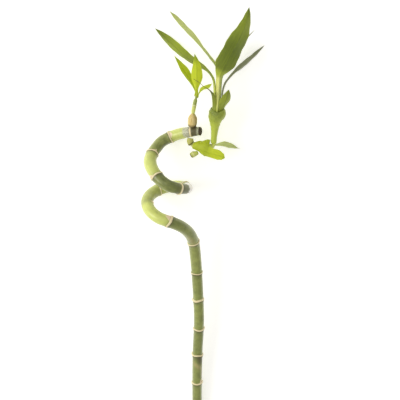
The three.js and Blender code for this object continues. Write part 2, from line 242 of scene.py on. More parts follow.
def weld(piece, fill=True):
    """Merges the edges that meet, fills the open ends and turns the faces outwards."""
    bpy.ops.object.mode_set(mode="EDIT")
    bpy.ops.mesh.select_all(action="SELECT")
    bpy.ops.mesh.remove_doubles(threshold=MERGED_BELOW)
    if fill:
        bpy.ops.mesh.fill_holes(sides=0)
        bpy.ops.mesh.select_all(action="SELECT")
    bpy.ops.mesh.normals_make_consistent(inside=False)
    bpy.ops.object.mode_set(mode="OBJECT")


def modify(piece, kind, **settings):
    """Adds a modifier with its settings and applies it."""
    select_only(piece)
    modifier = piece.modifiers.new(kind.title(), kind)
    for key, value in settings.items():
        setattr(modifier, key, value)
    bpy.ops.object.modifier_apply(modifier=modifier.name)


print("points nearer than", MERGED_BELOW, "mm are merged")

# %% The last steps for a piece
SHARP_FROM = radians(50)  # edges with a sharper bend than this stay sharp


def lay_down(piece, slot, *materials):
    """The last steps for every piece: smooth shading, its place on the floor, its materials, and
    the measured piece that it stands for."""
    select_only(piece)
    bpy.ops.object.shade_smooth_by_angle(angle=SHARP_FROM)
    piece.data.transform(upright_to_laid)
    piece.data.update()
    for material in materials:
        piece.data.materials.append(material)
    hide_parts(piece.name.removeprefix(FINE))
    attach(piece, "root")
    size = [round(side / MM, 1) for side in piece.dimensions]
    print(piece.name, "has", len(piece.data.polygons), "faces and measures", size, "mm")


print("edges stay sharp from", round(degrees(SHARP_FROM)), "degrees")

# %% [markdown]
# ## Materials from nodes
# A material is a small tree of nodes. One function adds a node, sets it up and links its inputs,
# and another turns the sRGB colours that people write into the linear ones that light adds up in.
# They are used for the floor, the light and every piece.

# %% Helpers for materials
def linear(colour):
    """An sRGB colour such as '#7d9440' as linear red, green, blue and alpha."""
    parts = [int(colour[i : i + 2], 16) / 255 for i in (1, 3, 5)]
    return (*[p / 12.92 if p < 0.04045 else ((p + 0.055) / 1.055) ** 2.4 for p in parts], 1.0)


def node(tree, kind, inputs=None, output=None, **settings):
    """Adds a node with its settings. An input is linked if it is given a socket, and set if not,
    from an sRGB colour too. Gives back the output asked for, or else the first that is in use."""
    made = tree.nodes.new("ShaderNode" + kind)
    for key, value in settings.items():
        setattr(made, key, value)
    for key, value in (inputs or {}).items():
        if isinstance(value, bpy.types.NodeSocket):
            tree.links.new(value, made.inputs[key])
        else:
            made.inputs[key].default_value = linear(value) if isinstance(value, str) else value
    if output:
        return made.outputs[output]
    return next((socket for socket in made.outputs if socket.enabled), None)


def start_material(name, *numbers):
    """A new material and its empty tree, then what it reads from the mesh: the place on the
    straight piece, and each of these numbers."""
    material = bpy.data.materials.new(name)
    material.use_nodes = True
    tree = material.node_tree
    tree.nodes.clear()
    grown = node(tree, "Attribute", output="Vector", attribute_name="grown")
    read = [node(tree, "Attribute", output="Fac", attribute_name=number) for number in numbers]
    return material, tree, grown, *read


def finish_material(material, shader):
    node(material.node_tree, "OutputMaterial", {"Surface": shader})
    print(material.name, "has", len(material.node_tree.nodes), "nodes")


print("leaf green is", [round(part, 3) for part in linear("#7d9440")])

# %% [markdown]
# Four steps come back in nearly every skin of a plant: a noise that is stretched along the fibres, a
# tone that strays with such a noise, a colour that is laid over another where a pattern is strong,
# and a surface with a fine relief. Each gets its own function.

# %% Steps that the plant's materials share
def stretched_noise(tree, grown, scale, detail=3.0):
    """Noise on the straight piece. Scale is how many of its lumps go in a mm, across and along."""
    place = node(tree, "Mapping", {"Vector": grown, "Scale": scale})
    return node(tree, "TexNoise", {"Vector": place, "Scale": 1.0, "Detail": detail})


def vary(tree, tone, pattern, share):
    """A tone that strays with a pattern, by up to half a share either way."""
    varied = node(tree, "Math", {0: pattern, 1: share, 2: tone}, operation="MULTIPLY_ADD")
    return node(tree, "Math", {0: varied, 1: share / 2}, operation="SUBTRACT")


def coat(tree, under, over, pattern, start=0.0, end=1.0, strength=1.0):
    """One colour laid over another: not where the pattern is at start, and with full strength
    where it is at end."""
    amount = {"Value": pattern, "From Min": start, "From Max": end, "To Max": strength}
    mask = node(tree, "MapRange", amount)
    return node(tree, "Mix", {0: mask, 6: under, 7: over}, data_type="RGBA")


def surface(tree, colour, height, strength, deep, inputs):
    """A shader with a colour and with a relief that is deep mm high."""
    relief = node(tree, "Bump", {"Height": height, "Strength": strength, "Distance": deep * MM})
    return node(tree, "BsdfPrincipled", {"Base Color": colour, "Normal": relief, **inputs})


print("steps:", ", ".join(step.__name__ for step in (stretched_noise, vary, coat, surface)))

# %% [markdown]
# ## Camera
# The plant was seen from 21 degrees above, 1.1 m away. Lying down, the same view of it is from
# above, so the camera looks down on the floor.

# %% Camera
SEEN_FROM = radians(21)  # above level, on the upright plant
LOOKED_AT = Vector((3.4, 0, 303))  # mm, on the upright plant
FAR_AWAY = 1100  # mm
LENS = 86.1  # millimetres, on a sensor 36 mm wide

back_off = Vector((0, -cos(SEEN_FROM), sin(SEEN_FROM))) * FAR_AWAY
deselect_all()
bpy.ops.object.camera_add(
    location=upright_to_laid @ (LOOKED_AT + back_off), rotation=(LAY_TILT - SEEN_FROM, 0, 0)
)
camera = bpy.context.object
camera.name = "camera"
camera.data.lens = LENS
camera.data.sensor_width = 36
camera.data.clip_start = 0.01
bpy.context.scene.camera = camera
print("camera at", tuple(camera.location))

# %% [markdown]
# ## Floor and light
# The look is high key: white all round, and a floor that is lit a little from within, as a light
# table is, so that shadows stay faint and thin leaves glow. The surroundings are brighter on the
# left, where a large softbox gives the cane its soft streak of light. The standard view keeps white
# white and lime greens fresh.

# %% Floor
FLOOR_SIZE = 12  # metres
FLOOR_GLOW = 0.47

deselect_all()
bpy.ops.mesh.primitive_plane_add(size=FLOOR_SIZE, location=(0, 0, 0))
floor = bpy.context.object
floor.name = "floor"
paper, tree, _ = start_material("matte_white_light_table")  # even and dull, hardly any grain
grain = node(tree, "TexNoise", {"Scale": 3.0, "Detail": 2.0})
matte = node(tree, "BsdfDiffuse", {"Color": coat(tree, "#f4f3f1", "#f7f6f5", grain)})
glow = node(tree, "Emission", {"Color": "#fffefb", "Strength": FLOOR_GLOW})
finish_material(paper, node(tree, "AddShader", {0: matte, 1: glow}))
floor.data.materials.append(paper)
print("floor is", FLOOR_SIZE, "m wide")

# %% Light
SURROUND_LEFT, SURROUND_RIGHT = 0.72, 0.42  # how bright the white all round is
SOFTBOXES = {  # place, size in metres, power in watts
    "softbox_left": ((-1.2, 0.3, 0.9), 0.8, 8.0),
    "softbox_top": ((-0.3, 0.8, 1.8), 0.7, 2.0),
}

bpy.context.scene.view_settings.view_transform = "Standard"
world = bpy.data.worlds.new("white_all_round")
bpy.context.scene.world = world
world.use_nodes = True
tree = world.node_tree
way = node(tree, "TexCoord", output="Generated")
from_left = node(tree, "SeparateXYZ", {"Vector": way}, output="X")
across = {"Value": from_left, "From Min": -1.0, "To Min": SURROUND_LEFT, "To Max": SURROUND_RIGHT}
background = tree.nodes["Background"]
background.inputs["Color"].default_value = linear("#fffefc")
tree.links.new(node(tree, "MapRange", across), background.inputs["Strength"])
for name, (place, size, power) in SOFTBOXES.items():
    deselect_all()
    bpy.ops.object.light_add(type="AREA", location=place)
    light = bpy.context.object
    light.name = name
    light.data.size = size
    light.data.energy = power
    light.rotation_euler = Vector(place).to_track_quat("Z", "Y").to_euler()
    light.visible_camera = False
print("lights:", list(SOFTBOXES))

# %% [markdown]
# ## The cane's skin
# The skin of a living cane is a thin waxy cuticle over green tissue: satin, with fine fibres that
# run lengthwise. Where each leaf once clasped the cane, it left a cream, corky ring. The skin is
# darker just below a ring, which is painted shade under its ledge, and yellower above it, and each
# stretch between two rings has its own green. On the spiral the side that faces right is painted a
# deeper green: painted shade, away from the light on the left. Near the pruned top it has dried,
# grey-white in one place and brown in others. All of this is painted from the attributes that the
# mesh will carry: how far it is to the nearest ring, which green, how dry.

# %% Living cane skin
FIBRE = 0.5  # mm between fibres; real ones are finer and wouldn't show
STREAK_LONG = 14.0  # mm
BLOTCH = 6.0  # mm
CORK_EDGE = 1.15, 0.75  # mm from a ring: where its cork starts, and where it is whole
SCAR_EDGE = 0.05, 0.2  # the same of a bud's scar, in its number from 0 to 1
CANE_NUMBERS = (  # what the mesh says at each of its points
    "ring_far", "below_ring", "above_ring", "tone", "scar", "pale", "brown", "worn",
)

# A waxy cuticle: light makes one soft, broad streak along it, and its edges look paler.
living_skin, tree, grown, *read = start_material("living_cane_skin", *CANE_NUMBERS)
ring_far, below_ring, above_ring, tone, scar, pale, brown, worn = read
fibres = stretched_noise(tree, grown, (1 / FIBRE, 1 / FIBRE, 1 / STREAK_LONG))
clouds = node(
    tree, "TexNoise", {"Vector": grown, "Scale": 1 / BLOTCH, "Detail": 4.0, "Roughness": 0.6}
)
green = coat(tree, "#e0e87c", "#525c26", vary(tree, tone, clouds, 0.5))
green = coat(tree, green, "#adb45c", fibres, 0.35, 0.75, 0.28)
# painted shade below each ring, under its ledge
green = coat(tree, green, "#4c5326", below_ring, strength=0.6)
green = coat(tree, green, "#9aa348", above_ring, strength=0.45)
# painted shade: a dark line in the crease just under a ring's cork
green = coat(tree, green, "#4f4120", below_ring, 0.86, 0.97, 0.75)  # the crease under a ring
green = coat(tree, green, "#b6a76c", worn)

# %% Living cane skin: dry places, rings and scars
SPOTS = 0.9  # pale spots in each mm of a dried stretch

spots = node(tree, "TexVoronoi", {"Vector": grown, "Scale": SPOTS})
dried = coat(tree, "#77745a", "#c6c5ae", spots, 0.15, 0.45)
dried = coat(tree, dried, "#fffaf0", pale, 0.88, 0.98)
skin = coat(tree, green, dried, pale)
skin = coat(tree, skin, coat(tree, "#2c2413", "#6b6034", clouds), brown)
cork = coat(tree, "#fbf0c4", "#e6d298", clouds)
rosy = coat(tree, "#fff0d2", "#e6c09c", clouds)  # the middle of a scar
skin = coat(tree, skin, coat(tree, cork, rosy, scar, 0.45, 0.75), scar, *SCAR_EDGE)
skin = coat(tree, skin, "#5b5428", ring_far, 2.1, 1.3, 0.34)  # a thin outline of the cork
skin = coat(tree, skin, cork, ring_far, *CORK_EDGE)

# %% Living cane skin: gloss and relief
DULL = 0.75  # the roughness of cork and of dried skin

dull = pale
for number, (start, end) in ((brown, (0, 1)), (scar, SCAR_EDGE), (ring_far, CORK_EDGE)):
    mask = node(tree, "MapRange", {"Value": number, "From Min": start, "From Max": end})
    dull = node(tree, "Math", {0: dull, 1: mask}, operation="MAXIMUM")
gloss = node(tree, "MapRange", {"Value": clouds, "To Min": 0.3, "To Max": 0.45})
gloss = node(tree, "MapRange", {"Value": dull, "To Min": gloss, "To Max": DULL})
finish = {
    "Roughness": gloss,
    "IOR": 1.45,
    "Coat Weight": 0.55,
    "Coat Roughness": 0.25,
    "Sheen Weight": 0.3,  # the bloom of wax that pales its edges
    "Sheen Roughness": 0.4,
}
finish_material(living_skin, surface(tree, skin, fibres, 0.35, 0.15, finish))

# %% [markdown]
# ## The cut face
# The knife left a flat, pale face: a thin green rind, and inside it soft pith with the cut ends of
# many fibres. Voronoi cells a millimetre across give those dots.

# %% Cut pith
FIBRE_END = 1.1  # mm between the cut ends of fibres

cut_pith, tree, grown = start_material("cut_pith")  # dull and moist, straw with darker dots
cells = node(tree, "TexVoronoi", {"Vector": grown, "Scale": 1 / FIBRE_END})
pith = coat(tree, "#a58c55", "#e5dcae", cells, 0.12, 0.35)
finish_material(cut_pith, surface(tree, pith, cells, 0.4, 0.2, {"Roughness": 0.7}))

# %% [markdown]
# ## The cane's line
# The cane is straight for half its length, leans forward and winds one and a half turns to the
# left, then straightens to its pruned end. The spiral is given by its distance from its axis and
# its height at each eighth of a turn.

# %% The cane's line
STEM_POINTS = [
    (0, 0, 0), (-0.2, 0, 60), (0.5, 0, 105), (2.2, 0, 147), (0.5, 0, 195), (-1.8, 0, 231),
    (-3.8, -2, 249), (-6.8, -7.5, 261), (-12, -14, 271), (-21, -20.5, 280.2),
]
SPIRAL_X = -32.5  # where the spiral's upright axis is
SPIRAL_EIGHTHS = [  # distance from that axis, and height: from the front, round by the left
    (23.8, 286.2), (24.8, 293.1), (24.9, 301), (24.4, 306.5), (24, 310.5), (22.9, 313.8),
    (22, 317.5), (22.8, 322.6), (23.4, 329.5), (20.4, 340.2), (20.6, 350.5), (20.2, 361),
    (24, 370.3),
]
SPIRAL_STEPS = 2  # points in each eighth of a turn
END_POINTS = [
    (-22, 21.5, 375.1), (-14.8, 18, 378), (-6.8, 14, 380.8), (0.4, 11.5, 382),
    (3, 10.6, 382.3),
]


def spiral_point(turned):
    """A point of the spiral, in eighths of a turn from the front, round by the left."""
    last = len(SPIRAL_EIGHTHS) - 1
    eighth = min(int(turned), last - 1)
    rest = turned - eighth
    rows = [SPIRAL_EIGHTHS[min(max(eighth + k, 0), last)] for k in (-1, 0, 1, 2)]
    radius, height = [
        curve(start, end, (end - before) / 2, (after - start) / 2, rest)
        for before, start, end, after in zip(*rows)
    ]
    angle = turned * pi / 4
    return SPIRAL_X - radius * sin(angle), -radius * cos(angle), height


steps = range((len(SPIRAL_EIGHTHS) - 1) * SPIRAL_STEPS + 1)
spiral_points = [spiral_point(step / SPIRAL_STEPS) for step in steps]
cane_line = Line(STEM_POINTS + spiral_points + END_POINTS)
print("the cane is", round(cane_line.length, 1), "mm long")

# %% [markdown]
# ## The cane
# A tube whose radius changes from row to row. Each ring is a low, sharp ledge of cork with a swollen
# place below it and a shallow groove above. Rings are never quite level, so each has its own tilt
# and wave. On one side of each ring is the scar of a bud: a pale triangle that points up the cane,
# with a small bump in it. Rows are close together at the rings and wide apart elsewhere.

# %% What is where along the cane
RING_LEDGES = [(0, 0.8), (150, 0.7), (210, 0.5), (545, 0.5), (568, 0.3)]  # mm that it stands out
CANE_RADII = [  # mm along the cane, and its radius there
    (0, 5.9), (150, 6.1), (200, 6.3), (245, 6.6), (300, 6.8), (330, 7.0), (360, 7.0), (392, 6.6),
    (409, 6.1), (425, 5.7), (440, 5.8), (456, 6.7), (477, 6.9), (498, 7.3), (516, 6.7), (535, 6.6),
    (556, 6.6), (562, 6.1), (567, 5.7), (571, 5.6), (578, 4.9),
]
STRETCH_TONES = [  # one for each stretch between rings, from the cut end: 0 is lime, 1 deep olive
    0.72, 0.74, 0.75, 0.78, 0.72, 0.76, 0.68, 0.74, 0.13, 0.38, 0.22, 0.72, 0.87, 0.2, 0.74, 0.2, 0.8,
]
BUD_SCARS = {  # each ring, mm along the cane: its scar's side, length in mm, half width in degrees
    24: ((-1, -0.4, 0), 3.5, 40), 62: ((0.85, -0.6, 0), 7, 30), 101: ((-1, 0.5, 0), 3.5, 40),
    137: ((1, 0.7, 0), 3.5, 40), 176: ((-1, 0.3, 0), 3.5, 40), 212: ((0.4, 1, 0), 3.5, 40),
    252.5: ((1, 0.2, 0.3), 4, 40), 303: ((0, -0.35, 1), 7.5, 62), 341: ((1, 0.4, 0.4), 3, 45),
    372: ((0, -0.6, 1), 5, 60), 409: ((1, 0.3, 0), 4, 40), 445.5: ((0, 0, -1), 3, 40),
    476.5: ((-0.75, -0.6, -0.35), 5.5, 62), 510: ((0.6, 0, 0.8), 3, 40),
    541.3: ((-0.2, -0.7, 0.6), 6, 58), 569.2: ((0, 0.5, -1), 3, 40),
}
RINGS = list(BUD_SCARS)
PALE_STRETCHES = [(416, 434, 1.0), (561, 567.7, 0.85), (576, 578.6, 0.6)]  # from, to, how dry
BROWN_STRETCHES = [(437, 443, 0.4), (570.7, 575.5, 0.9), (447, 450, 0.3)]
WORN_PATCHES = [  # mm along the cane, the side it faces, half length and half width in mm, how much
    (87, (0, -1, 0), 4, 8, 0.8), (74, (1, -0.3, 0), 9, 3, 0.6), (229, (-0.5, -1, 0), 1.2, 0.8, 0.7),
    (262, (0.2, -0.6, -1), 12, 4, 0.5), (205, (1, 0, 0), 22, 2, 0.35), (120, (1, 0, 0), 14, 2, 0.4),
]
BROWN_PATCHES = [(95.5, (0.6, -0.8, 0), 8, 7, 0.75)]  # in the same way, where it is brownish
PATCH_SLANT = 4  # mm down the cane for each radian round it
PATCH_EDGE = (0.2, 1.3)  # in half sizes of a patch: where it starts to fade, and where it is gone
RING_WAVE = 0.6  # mm that a ring strays up and down
RING_TILTS = {303: ((0, 0, 1), -1.0), 101: ((-1, 0, 0), 0.7)}  # the higher side, and by how much
FAINT_RINGS = {341: 2.2, 212: 0.35, 176: -0.35}  # mm that a ring is narrower by
RING_SHADE = 7.0  # mm over which the skin is darker below a ring and yellower above it
SPIRAL_STRETCH = (300, 545, 20)  # mm along the cane: from, to, and how softly it starts and stops
PAINTED_SHADE_TONE = 0.2  # how much deeper in tone the spiral's right side is painted: painted shade, away from the light on the left
RING_SHADE_SHARES = {341: 0.6, 372: 0.1}  # how much of that shade these rings have


def facing(side, place):
    """The angle, round the cane from its front to its right, that looks the way of side."""
    front, right = cane_line.sides(place / cane_line.length)
    return atan2(Vector(side).dot(right), Vector(side).dot(front))


scar_angles = {ring: facing(side, ring) for ring, (side, *_) in BUD_SCARS.items()}
tilt_angles = {ring: facing(side, ring) for ring, (side, _) in RING_TILTS.items()}
print("scars face", {ring: round(degrees(angle)) for ring, angle in scar_angles.items()})

# %% Rows of the cane
ROW_STEP = 1.6  # mm
RING_ROW_STEP = 0.28
RING_NEAR = 2.4  # mm on each side of a ring that have close rows

even = round(cane_line.length / ROW_STEP)
close = int(RING_NEAR / RING_ROW_STEP)
cane_rows = [step * cane_line.length / even for step in range(even + 1)]
cane_rows = [row for row in cane_rows if all(abs(row - ring) > RING_NEAR for ring in RINGS)]
cane_rows += [ring + step * RING_ROW_STEP for ring in RINGS for step in range(-close, close + 1)]
cane_rows.sort()
print("the cane has", len(cane_rows), "rows")

# %% Stretches and patches of another colour
def turned_from(angle, other):
    """How far one angle is turned from another, in radians."""
    return (angle - other + pi) % tau - pi


def aimed(patches):
    """The same patches, with an angle for the side that each faces."""
    return [(middle, facing(side, middle), *rest) for middle, side, *rest in patches]


def patchy(patches, place, angle, radius):
    """How much a point of the cane is in one of these slanting patches."""
    most = 0
    for middle, faced, long, wide, how in patches:
        slant = turned_from(angle, faced)
        away = hypot((place - middle + PATCH_SLANT * slant) / long, slant * radius / wide)
        most = max(most, how * (1 - ease(away, *PATCH_EDGE)))
    return most


def stretched_over(stretches, place, soft):
    """How much a place is in one of these stretches."""
    return max(how * window(place, start, end, soft) for start, end, how in stretches)


worn_patches, brown_patches = aimed(WORN_PATCHES), aimed(BROWN_PATCHES)
print("patches:", len(worn_patches), "worn and", len(brown_patches), "brown")

# %% The cane's mesh
# Near a ring, in mm above it: from, to, and how softly each starts and stops. Then how high it is.
SWELLING, SWELL_SHARE = (-2.6, -0.6, 2.6), 0.6  # a share of the ring's own ledge
LEDGE = (-0.6, 0.6, 0.4)
GROOVE, GROOVE_DEEP = (1.0, 1.3, 0.5), 0.22
BUD, BUD_HIGH = (0.8, 1.6, 1), 0.5
SCAR_HIGH = 0.3
RAGGED = 2.2  # mm that the edges of a bleached stretch stray
UNEVEN_SHARE, UNEVEN_LONG = 0.018, 18  # of the radius, and mm along the cane
CANE_SIDES = 44


def cane_radius(place, ring, gap, off, scar):
    """Gap is how far above its ring a point is, and off how far round from the bud's scar."""
    ledge = along(RING_LEDGES, ring) * (1 - ease(FAINT_RINGS.get(ring, 0), 0.5, 1.5))
    radius = along(CANE_RADII, place)
    radius += ledge * (SWELL_SHARE * window(gap, *SWELLING) + window(gap, *LEDGE))
    radius -= GROOVE_DEEP * window(gap, *GROOVE) * (1 - ease(scar, 0, 0.2))
    bud = ease(1 - off * 3) * window(gap, *BUD)  # a third as wide as its scar
    return radius + SCAR_HIGH * ease(scar, 0, 0.3) + BUD_HIGH * bud


def cane_point(across, up):
    place = cane_rows[round(up * (len(cane_rows) - 1))]
    angle = across * tau
    ring = min(RINGS, key=lambda r: abs(r - place))
    gap = place - ring
    gap -= RING_WAVE * (sin(angle + ring) + 0.5 * sin(3 * angle + 2 * ring))
    if ring in RING_TILTS:
        gap -= RING_TILTS[ring][1] * cos(angle - tilt_angles[ring])
    _, scar_long, scar_wide = BUD_SCARS[ring]
    off = abs(turned_from(angle, scar_angles[ring])) / radians(scar_wide)
    scar = ease(1 - off - max(gap, 0) / scar_long, 0, 0.5) if gap > -1 else 0
    radius = cane_radius(place, ring, gap, off, scar)
    radius *= 1 + UNEVEN_SHARE * uneven(angle, place / UNEVEN_LONG, 1.3)
    share = place / cane_line.length
    flat, real = cane_line.beside(share, angle, radius)
    shade = RING_SHADE_SHARES.get(ring, 1) * ease(-abs(gap), -RING_SHADE, -0.5)
    ragged = place + RAGGED * uneven(angle, place / UNEVEN_LONG, 2.6)
    rightwards = (real - cane_line.at(share)).normalized().x * window(place, *SPIRAL_STRETCH)
    brown = stretched_over(BROWN_STRETCHES, place, 2)
    return (
        flat,
        real,
        abs(gap) + FAINT_RINGS.get(ring, 0),
        shade * (gap < 0),
        shade * (gap >= 0),
        STRETCH_TONES[sum(r < place for r in RINGS)] + PAINTED_SHADE_TONE * rightwards,
        scar,
        stretched_over(PALE_STRETCHES, ragged, 1.5),
        max(brown, patchy(brown_patches, place, angle, radius)),
        patchy(worn_patches, place, angle, radius),
    )


cane = grid("cane", CANE_SIDES, len(cane_rows) - 1, cane_point, CANE_NUMBERS)
weld(cane)
print("cane:", len(cane.data.polygons), "faces")

# %% [markdown]
# The cut end is one flat face now. An inset leaves the rind as a rim, the middle is pushed in a
# little, as pith shrinks when it dries, and those faces get the pith's material.

# %% The cut end
RIND = 0.55  # mm
PITH_DEEP = 0.35  # mm that the pith is sunk
PITH_STEP, PITH_RINGS = 1.2, 4  # mm between its rings of faces, and how many there are

bpy.ops.object.mode_set(mode="EDIT")
bpy.ops.mesh.select_mode(type="FACE")
bpy.ops.mesh.select_all(action="DESELECT")
mesh = bmesh.from_edit_mesh(cane.data)
for face in mesh.faces:
    face.select = face.calc_center_median().z < 0.05  # only the flat end lies so low
bmesh.update_edit_mesh(cane.data)
bpy.ops.mesh.inset(thickness=RIND)
bpy.ops.transform.translate(value=(0, 0, PITH_DEEP))
for _ in range(PITH_RINGS):
    bpy.ops.mesh.inset(thickness=PITH_STEP)
bpy.ops.object.mode_set(mode="OBJECT")
for face in cane.data.polygons:  # the pith is sunk and looks down
    face.material_index = int(face.normal.z < -0.9 and 0.1 < face.center.z < 0.6)
lay_down(cane, "cane_skin", living_skin, cut_pith)

# %% [markdown]
# ## The sealed top
# Growers seal the pruned end, and it dries to a dark, lumpy cap with a pale rim. The cap is a short
# tube whose rows close in towards the middle, made uneven with noise.

# %% Dried seal
LUMP = 1.6  # mm

dried_seal, tree, grown = start_material("dried_callus_and_wax")  # nearly black, dull, cracked
lumps = node(tree, "TexNoise", {"Vector": grown, "Scale": 1 / LUMP, "Detail": 4.0})
cracks = node(
    tree, "TexVoronoi", {"Vector": grown, "Scale": 1 / LUMP}, feature="DISTANCE_TO_EDGE"
)
crust = coat(tree, "#241a10", "#6d5b3c", lumps)
crust = coat(tree, "#171008", crust, cracks, 0, 0.12)
finish_material(dried_seal, surface(tree, crust, lumps, 0.6, 0.4, {"Roughness": 0.68}))

SEAL_ROWS = [(0, 4.7), (0.3, 5.0), (0.7, 5.05), (1.2, 4.8), (1.6, 4.2), (1.9, 3.2), (2.1, 2.1),
             (2.15, 1.0), (2.1, 0.3)]  # height and radius, mm
SEAL_UNEVEN, SEAL_LUMPY = 0.08, 0.35  # how far it strays: a share of its radius, and mm in height
end_way = cane_line.way(1.0)


def seal_point(across, up):
    height, radius = SEAL_ROWS[round(up * (len(SEAL_ROWS) - 1))]
    angle = across * tau
    radius *= 1 + SEAL_UNEVEN * uneven(angle, height, 1.9)
    flat, real = cane_line.beside(1.0, angle, radius)
    flat.z = height + SEAL_LUMPY * uneven(angle, radius, 1.4)
    return flat, real + end_way * flat.z


end_seal = grid("end_seal", 36, len(SEAL_ROWS) - 1, seal_point)
weld(end_seal)
modify(end_seal, "SUBSURF", levels=1, render_levels=1)
lay_down(end_seal, "dried_seal", dried_seal)

# %% [markdown]
# ## Stems of the shoots
# Young stems are softer and paler than the cane: yellow-green, with faint rings where leaves clasped
# them. They are tubes too, so one function makes them all: rows of a place along the line and a
# radius there. A ring is a narrow bulge, and its number goes into an attribute for the material.

# %% Young stem skin
STEM_NUMBERS = ("joint", "tone", "dry")

# Smooth and moist, with a narrow soft shine, and creamy at its joints.
young_stem, tree, grown, *read = start_material("young_stem_skin", *STEM_NUMBERS)
joint, tone, dry = read
fibres = stretched_noise(tree, grown, (2.2, 2.2, 0.15))
green = coat(tree, "#dfe47c", "#6f8430", vary(tree, tone, fibres, 0.45))
green = coat(tree, green, "#e4dfa4", joint)
skin = coat(tree, green, coat(tree, "#4c3a20", "#8c7a4c", fibres), dry)
finish = {"Roughness": 0.42, "Coat Weight": 0.08}
finish_material(young_stem, surface(tree, skin, fibres, 0.3, 0.12, finish))

# %% A stem along a line
JOINT_HALF, JOINT_HIGH = 0.7, 0.22  # mm
STEM_UNEVEN, STEM_UNEVEN_LONG = 0.04, 5  # of the radius, and mm along the stem
STEM_SIDES = 24


def stem(name, line, radii, joints, tones, dried=((0, 0),), rows_per_mm=1.4):
    """A closed tube. Radii, tones and dried are rows of (share of the length, value), and joints
    are the places of its rings in mm."""

    def point(across, up):
        angle = across * tau
        place = up * line.length
        ring = max(window(abs(place - at), -1, 0.1, JOINT_HALF) for at in joints)
        radius = along(radii, up) + JOINT_HIGH * ring
        radius *= 1 + STEM_UNEVEN * uneven(angle, place / STEM_UNEVEN_LONG)
        return *line.beside(up, angle, radius), ring, along(tones, up), along(dried, up)

    rows = max(24, round(line.length * rows_per_mm))
    piece = grid(name, STEM_SIDES, rows, point, STEM_NUMBERS)
    weld(piece)
    return piece


UPPER_POINTS = [
    (-5.6, 12.4, 388), (-5.1, 12, 394), (-4.5, 12, 402), (-2.6, 12, 413.5), (-0.6, 12, 422.5),
    (0.6, 12, 430),
]
upper_line = Line(UPPER_POINTS)
upper_stem = stem(
    "upper_stem",
    upper_line,
    [(0, 1.9), (0.35, 1.9), (0.43, 2.3), (0.7, 2.2), (0.76, 1.4), (1, 1.0)],
    joints=[24.5],
    tones=[(0, 0), (0.5, 0.1), (0.62, 0.65), (0.8, 0.7), (1, 0.4)],
)
lay_down(upper_stem, "shoot_stem", young_stem)

# %% The lower shoot's stem
LOWER_FOOT = [
    (-7.4, 14, 372.9), (-7.7, 13.2, 369.5), (-5.2, 12.4, 365.4), (1.5, 12, 364), (10.2, 12, 363.9),
    (17.2, 12, 364.2),
]
LOWER_COLUMN = [
    (19, 12, 368), (19.4, 12, 375), (20.4, 12, 386), (22.2, 12, 402), (23.2, 12, 415),
    (24.3, 12, 435), (24.8, 12, 446),
]
LOWER_RADII = [
    (0, 2.2), (0.075, 2.2), (0.11, 2.7), (0.24, 2.7), (0.27, 3), (0.3, 2.1), (0.5, 2), (0.6, 2.5),
    (0.85, 2.5), (1, 0.8),
]
WRAPPED = (10, 27)  # mm along this stem that the foot leaf has grown round
lower_line = Line(LOWER_FOOT + LOWER_COLUMN)
lower_stem = stem(
    "lower_stem",
    lower_line,
    LOWER_RADII,
    joints=[8.5, 16, 31],
    tones=[(0, 0.2), (0.1, 0.2), (0.2, 0), (0.24, -0.5), (0.3, -0.4), (0.5, 0.5), (1, 0.4)],
)
print("the stem of the lower shoot is", round(lower_line.length), "mm long")

# %% [markdown]
# The stub is all that is left of an older shoot. It is short and swollen, ringed like the cane, and
# its trimmed end has dried dark.

# %% The stub
STUB_POINTS = [(1.4, 11, 356.6), (-1.2, 10.8, 355.8), (-4.2, 10.5, 354.7), (-7.2, 10.2, 352.8)]
STUB_RADII = [(0, 1.4), (0.15, 2.5), (0.6, 3.4), (0.85, 3.2), (0.96, 2.7), (1, 1.7)]
lower_stub = stem(
    "lower_stub",
    Line(STUB_POINTS),
    STUB_RADII,
    joints=[5.6],
    tones=[(0, 0.3), (0.5, 0.1), (1, 0.5)],
    dried=[(0, 0), (0.8, 0), (0.97, 1), (1, 1)],
    rows_per_mm=3,
)
lay_down(lower_stub, "shoot_stem", young_stem)

# %% [markdown]
# ## Papery scales
# At its foot each shoot is wrapped in dry scales, the first leaves that it made: thin, tan and
# brittle, with fine lengthwise fibres. A scale is an open tube that gets its thickness from a
# Solidify modifier. Its upper rim is uneven, because the scale has torn.

# %% Dry scale
SCALE_FIBRE = 0.6  # mm


def scale_material(name, light, fibre, cloud, dark):
    """Paper-thin leaf base: light between its fibres, clouded, and dark where it has withered and
    where shade is painted on it.
    """
    material, tree, grown, withered = start_material(name, "dark")
    fibres = stretched_noise(tree, grown, (1 / SCALE_FIBRE, 1 / SCALE_FIBRE, 0.12), 4.0)
    clouds = node(tree, "TexNoise", {"Vector": grown, "Scale": 0.3, "Detail": 3.0})
    paper = coat(tree, light, fibre, fibres, 0.35, 0.65)
    paper = coat(tree, paper, cloud, clouds)
    paper = coat(tree, paper, dark, withered)
    finish_material(material, surface(tree, paper, fibres, 0.5, 0.25, {"Roughness": 0.6}))
    return material


dry_scale = scale_material("dry_papery_scale", "#f8edb6", "#cda552", "#dfc474", "#5b4a20")
green_scale = scale_material("half_dry_green_scale", "#e4e08c", "#b0b04c", "#c9c864", "#5b5428")

# %% A sleeve round a line
OVERLAP_TURNS, SEAM_ANGLE = 1.12, 0.5  # of a wrapped sleeve
SLEEVE_UNEVEN = 0.02  # of its radius


